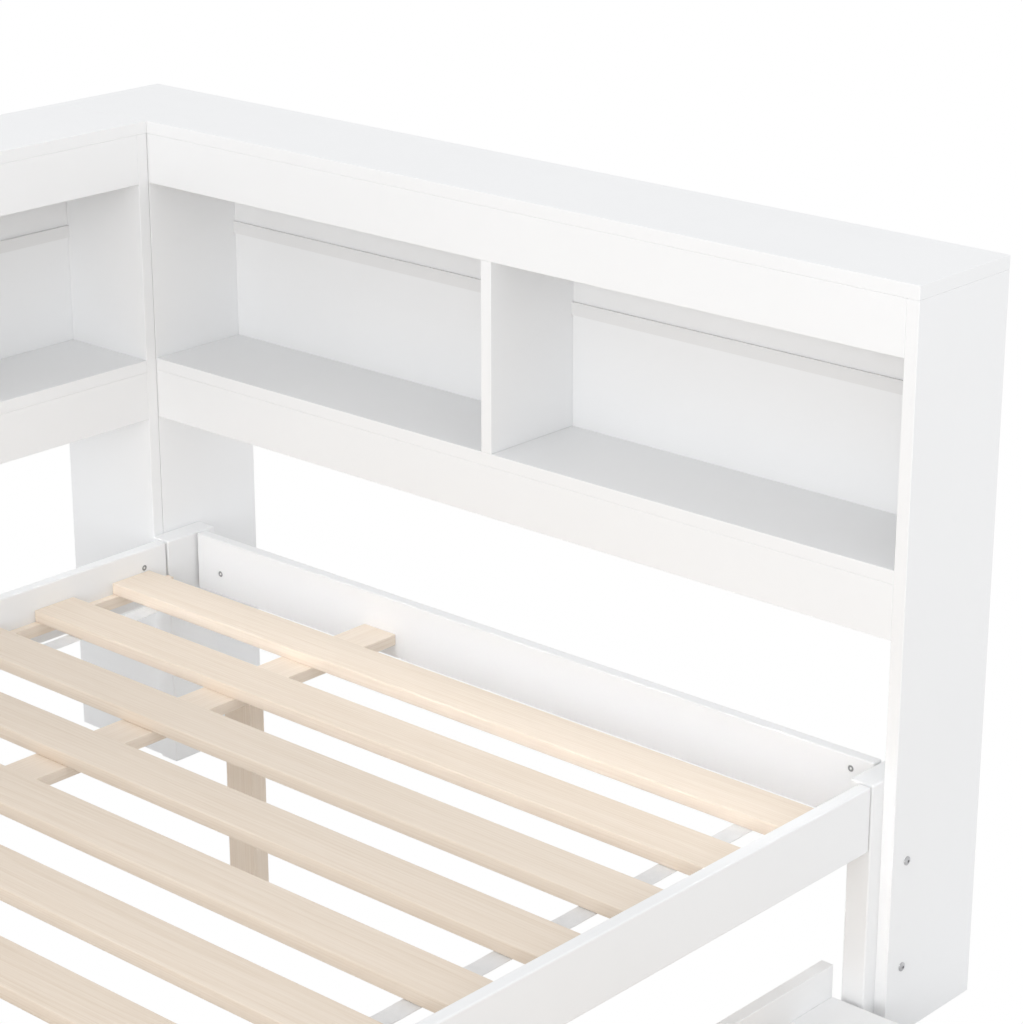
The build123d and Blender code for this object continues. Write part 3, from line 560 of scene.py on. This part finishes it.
def make_weave():
    """Plain weave on a strap's own map in metres: warp and weft threads are cosines of the distance
    across and along, and they take turns on top where the signs of two slower cosines agree. The
    low places between the threads give painted shade, put out as a darker colour."""
    group, start, end = new_group("webbing_weave", {"Vector": (0, 0, 0), "Thread": 0.0018},
                                  ["Height", "Painted Shade"])
    parts = put(group, "ShaderNodeSeparateXYZ", {0: start.outputs["Vector"]}).outputs
    steps = [sum_up(group, "MULTIPLY", sum_up(group, "DIVIDE", part, start.outputs["Thread"]), math.pi)
             for part in (parts[0], parts[1])]
    threads = [sum_up(group, "ABSOLUTE", sum_up(group, "SINE", step)) for step in steps]
    turn = sum_up(group, "MULTIPLY", sum_up(group, "SINE", steps[0]), sum_up(group, "SINE", steps[1]))
    over = spread(group, turn, -0.1, 0.1, 0.0, 1.0)
    under = sum_up(group, "SUBTRACT", 1.0, over)
    height = sum_up(group, "ADD", sum_up(group, "MULTIPLY", threads[0], over),
                    sum_up(group, "MULTIPLY", threads[1], under))
    group.links.new(height, end.inputs["Height"])
    # Painted shade: the colour darkens where the threads lie low
    group.links.new(spread(group, height, 0.0, 1.0, 0.72, 1.0), end.inputs["Painted Shade"])
    return group


mottle = make_mottle()
wood_grain = make_grain()
webbing_weave = make_weave()


def use(tree, group, **values):
    """Place a shared group in a material, with this material's own values."""
    node = tree.nodes.new("ShaderNodeGroup")
    node.node_tree = group
    for key, value in values.items():
        socket = node.inputs[key.replace("_", " ")]
        if isinstance(value, bpy.types.NodeSocket):
            tree.links.new(value, socket)
        else:
            socket.default_value = value
    return node.outputs


def new_material(name, **sockets):
    """A material with one Principled shader, and what is the same all over set on its sockets."""
    material = bpy.data.materials.new(name)
    material.use_nodes = True
    tree = material.node_tree
    shader = next(node for node in tree.nodes if node.type == "BSDF_PRINCIPLED")
    for key, value in sockets.items():
        shader.inputs[key.replace("_", " ")].default_value = value
    place = tree.nodes.new("ShaderNodeTexCoord")
    return material, tree, shader, place


def blend_colours(tree, share, first, second):
    """A colour between two."""
    node = put(tree, "ShaderNodeMix", {"Factor": share}, data_type="RGBA")
    node.inputs[6].default_value = (*first, 1)
    node.inputs[7].default_value = (*second, 1)
    return node.outputs[2]


def bump(tree, shader, height, distance, strength=1.0):
    """Raise the surface by a height."""
    node = put(tree, "ShaderNodeBump", {"Height": height, "Distance": distance, "Strength": strength})
    tree.links.new(node.outputs[0], shader.inputs["Normal"])


def painted(name, light, dark, roughness, grain_scale, depth, specular=0.5):
    """Sprayed or moulded white: faint patches of tone, a little uneven gloss and fine orange peel."""
    material, tree, shader, place = new_material(name, Specular_IOR_Level=specular)
    spot = place.outputs["Object"]
    patches = use(tree, mottle, Vector=spot, Scale=3.0)[0]
    tree.links.new(blend_colours(tree, patches, dark, light), shader.inputs["Base Color"])
    gloss = use(tree, mottle, Vector=spot, Scale=35.0, Lowest=roughness - 0.04,
                Highest=roughness + 0.04)[0]
    tree.links.new(gloss, shader.inputs["Roughness"])
    bump(tree, shader, use(tree, mottle, Vector=spot, Scale=grain_scale)[0], depth)
    return material


def wood(name, turn, light, dark, ring_share=0.18, roughness=0.55):
    """Planed wood with its grain turned to the board's length. Late rings and fibres are darker, and
    each board is lighter or darker by its own tone."""
    material, tree, shader, place = new_material(name, Specular_IOR_Level=0.3)
    spot = {"Vector": place.outputs["Object"], "Rotation": turn}
    turned = put(tree, "ShaderNodeMapping", spot).outputs[0]
    tone = put(tree, "ShaderNodeAttribute", attribute_name="board_tone").outputs["Fac"]
    grain = use(tree, wood_grain, Vector=turned, Board_Tone=tone)
    share = sum_up(tree, "MULTIPLY", grain["Rings"], ring_share)
    share = sum_up(tree, "ADD", share, spread(tree, grain["Fibres"], 0.35, 0.7, 0.0, 0.25))
    share = sum_up(tree, "ADD", share, spread(tree, grain["Flecks"], 0.4, 0.65, 0.0, 0.15))
    share = sum_up(tree, "MULTIPLY_ADD", tone, 0.25, share)
    tree.links.new(blend_colours(tree, share, light, dark), shader.inputs["Base Color"])
    tree.links.new(spread(tree, grain["Fibres"], 0.3, 0.7, roughness, roughness + 0.15),
                   shader.inputs["Roughness"])
    height = sum_up(tree, "MULTIPLY_ADD", grain["Rings"], -0.5, grain["Fibres"])
    bump(tree, shader, height, 0.00012, 0.6)
    return material


def webbing_material():
    """Grey woven tape, read on the strap's own map, with painted shade between its threads."""
    material, tree, shader, place = new_material("webbing", Specular_IOR_Level=0.2)
    shader.inputs["Roughness"].default_value = 0.85
    weave = use(tree, webbing_weave, Vector=place.outputs["Object"])
    patches = use(tree, mottle, Vector=place.outputs["Object"], Scale=60.0, Lowest=0.8, Highest=1.0)[0]
    # Painted shade from the weave darkens the grey between the threads
    share = sum_up(tree, "MULTIPLY", weave["Painted Shade"], patches)
    tree.links.new(blend_colours(tree, share, (0.60, 0.60, 0.60), (0.90, 0.90, 0.90)),
                   shader.inputs["Base Color"])
    bump(tree, shader, weave["Height"], 0.0002)
    return material


def steel(name, roughness):
    """Zinc-plated steel: fine drawn scratches in its gloss, and cloudy patches of tone."""
    material, tree, shader, place = new_material(name, Metallic=1.0)
    spot = place.outputs["Object"]
    patches = use(tree, mottle, Vector=spot, Scale=90.0)[0]
    tree.links.new(blend_colours(tree, patches, (0.50, 0.50, 0.51), (0.66, 0.66, 0.67)),
                   shader.inputs["Base Color"])
    gloss = use(tree, mottle, Vector=spot, Scale=400.0, Lowest=roughness - 0.08,
                Highest=roughness + 0.1)[0]
    tree.links.new(gloss, shader.inputs["Roughness"])
    bump(tree, shader, gloss, 0.00005)
    return material


def nut_material():
    """Zinc steel with painted shade: each barrel nut's colour is darkened by its rings' painted shade,
    most in the dished ring.
    """
    material, tree, shader, place = new_material("nut_steel", Metallic=0.25, Roughness=0.45)
    # Painted shade of the nut's rings, faintly mottled, moves the colour from light grey to dark grey
    tone = put(tree, "ShaderNodeAttribute", attribute_name="ring_painted_shade").outputs["Fac"]
    cloud = use(tree, mottle, Vector=place.outputs["Object"], Scale=400.0, Lowest=0.9, Highest=1.0)[0]
    share = sum_up(tree, "MULTIPLY", tone, cloud)
    tree.links.new(blend_colours(tree, share, (0.86, 0.86, 0.86), (0.26, 0.26, 0.265)),
                   shader.inputs["Base Color"])
    bump(tree, shader, cloud, 0.00003)
    return material


QUARTER = math.pi / 2
lacquer = painted("white_lacquer", (0.90, 0.905, 0.91), (0.885, 0.89, 0.895), 0.4, 900.0, 0.00002)
white_plastic = painted("white_plastic", (0.84, 0.84, 0.84), (0.81, 0.81, 0.81), 0.5, 1500.0, 0.00002)
wheel_plastic = painted("wheel_plastic", (0.05, 0.05, 0.053), (0.035, 0.035, 0.038), 0.5, 1800.0, 0.00003)
slat_light = (0.86, 0.76, 0.65)
slat_dark = (0.68, 0.55, 0.42)
beam_light = (0.93, 0.83, 0.72)
beam_dark = (0.75, 0.62, 0.49)
wood_across = wood("slat_wood_across", (0, 0, 0), slat_light, slat_dark)
wood_along = wood("slat_wood_along", (0, 0, QUARTER), beam_light, beam_dark)
wood_upright = wood("slat_wood_upright", (QUARTER, 0, 0), beam_light, beam_dark)
dowel_wood = wood("dowel_wood", (0, 0, QUARTER), (0.78, 0.66, 0.5), (0.6, 0.45, 0.3))
webbing = webbing_material()
zinc_steel = steel("zinc_steel", 0.35)
nut_steel = nut_material()

MATERIAL_OF = {
    "white_lacquer": lacquer,
    "slat_wood": wood_across,
    "dowel_wood": dowel_wood,
    "white_plastic": white_plastic,
    "wheel_plastic": wheel_plastic,
    "webbing": webbing,
    "zinc_steel": zinc_steel,
}
LENGTHWAYS = ("centre_beam", "back_ledger", "front_ledger", "trundle_back_ledger", "trundle_front_ledger")
UPRIGHT = ("beam_leg_1", "beam_leg_2", "beam_leg_3")


def dress_boards():
    """Give every CAD node the material of its slot, its grain along its own length."""
    for subpart in frame["record"]["subparts"]:
        name = subpart["node"]
        material = MATERIAL_OF[subpart["material_slot"]]
        if name in LENGTHWAYS:
            material = wood_along
        if name in UPRIGHT:
            material = wood_upright
        mesh = frame["nodes"][name].data
        mesh.materials.clear()
        mesh.materials.append(material)


def make_pieces():
    """Every piece that stands for a CAD node."""
    make_slats("bed_slats", "bed_slat", wood_across, "root")
    make_slats("trundle_slats", "trundle_slat", wood_across, "trundle")
    slats = sorted(solids("bed_slats"), key=lambda box: box[0][0])
    webbing_strap("back_webbing", "back_strap", slats, webbing)
    webbing_strap("front_webbing", "front_strap", slats, webbing)
    staples(("back_strap", "front_strap"), slats, zinc_steel)
    make_bolts(zinc_steel)
    make_nuts(nut_steel)
    for end in ("head", "foot"):
        for side in ("back", "front"):
            caster_wheel(f"caster_wheel_{end}_{side}", f"wheel_{end}_{side}", wheel_plastic)


def soft_light(name, place, aim, size, power, spread_angle=180.0):
    """An area light of a width and a height, turned from its place towards a point."""
    data = bpy.data.lights.new(name, "AREA")
    data.shape = "RECTANGLE"
    data.size, data.size_y = size
    data.energy = power
    data.spread = math.radians(spread_angle)
    light = bpy.data.objects.new(name, data)
    light.location = place
    light.rotation_euler = (Vector(aim) - Vector(place)).to_track_quat("-Z", "Y").to_euler()
    light.visible_camera = False
    bpy.context.scene.collection.objects.link(light)


def floor_material():
    """A pale floor: seen straight on it is plain white, and to the light it is a dull pale grey that
    darkens under the bed."""
    material, tree, shader, place = new_material("pale_floor", Roughness=0.9)
    shader.inputs["Base Color"].default_value = (FLOOR_TONE, FLOOR_TONE, FLOOR_TONE, 1)
    glow = put(tree, "ShaderNodeEmission", {"Color": (1, 1, 1, 1), "Strength": 1.0}).outputs[0]
    seen = put(tree, "ShaderNodeLightPath").outputs["Is Camera Ray"]
    mixed = put(tree, "ShaderNodeMixShader", {0: seen, 1: shader.outputs[0], 2: glow}).outputs[0]
    end = next(node for node in tree.nodes if node.type == "OUTPUT_MATERIAL")
    tree.links.new(mixed, end.inputs["Surface"])
    return material


def make_studio():
    """A white room: bright air all round, a pale floor, one large soft light and one on the deck."""
    world = bpy.data.worlds.new("studio")
    world.use_nodes = True
    bpy.context.scene.world = world
    world.node_tree.nodes["Background"].inputs["Color"].default_value = (*AIR_COLOUR, 1)
    world.node_tree.nodes["Background"].inputs["Strength"].default_value = AIR_STRENGTH
    corners = np.array([[-1, -1, 0], [1, -1, 0], [1, 1, 0], [-1, 1, 0]]) * FLOOR_HALF
    mesh = bpy.data.meshes.new("floor")
    mesh.from_pydata(corners - [0, 0, FLOOR_DROP], [], [(0, 1, 2, 3)])
    mesh.materials.append(floor_material())
    floor = bpy.data.objects.new("floor", mesh)
    bpy.context.scene.collection.objects.link(floor)
    soft_light("key", KEY_PLACE, KEY_AIM, KEY_SIZE, KEY_POWER)
    soft_light("deck", DECK_PLACE, DECK_AIM, DECK_SIZE, DECK_POWER, DECK_SPREAD)
    bpy.context.scene.view_settings.view_transform = "Standard"


def set_camera():
    """The camera at the photograph's place, turn and lens."""
    data = bpy.data.cameras.new("camera")
    data.lens = CAMERA_LENS
    data.sensor_width = SENSOR
    data.clip_end = CAMERA_REACH
    camera = bpy.data.objects.new("camera", data)
    camera.location = CAMERA_PLACE
    camera.rotation_euler = (math.radians(CAMERA_TILT), 0, math.radians(CAMERA_TURN))
    bpy.context.scene.collection.objects.link(camera)
    bpy.context.scene.camera = camera


dress_boards()
make_pieces()
make_studio()
set_camera()
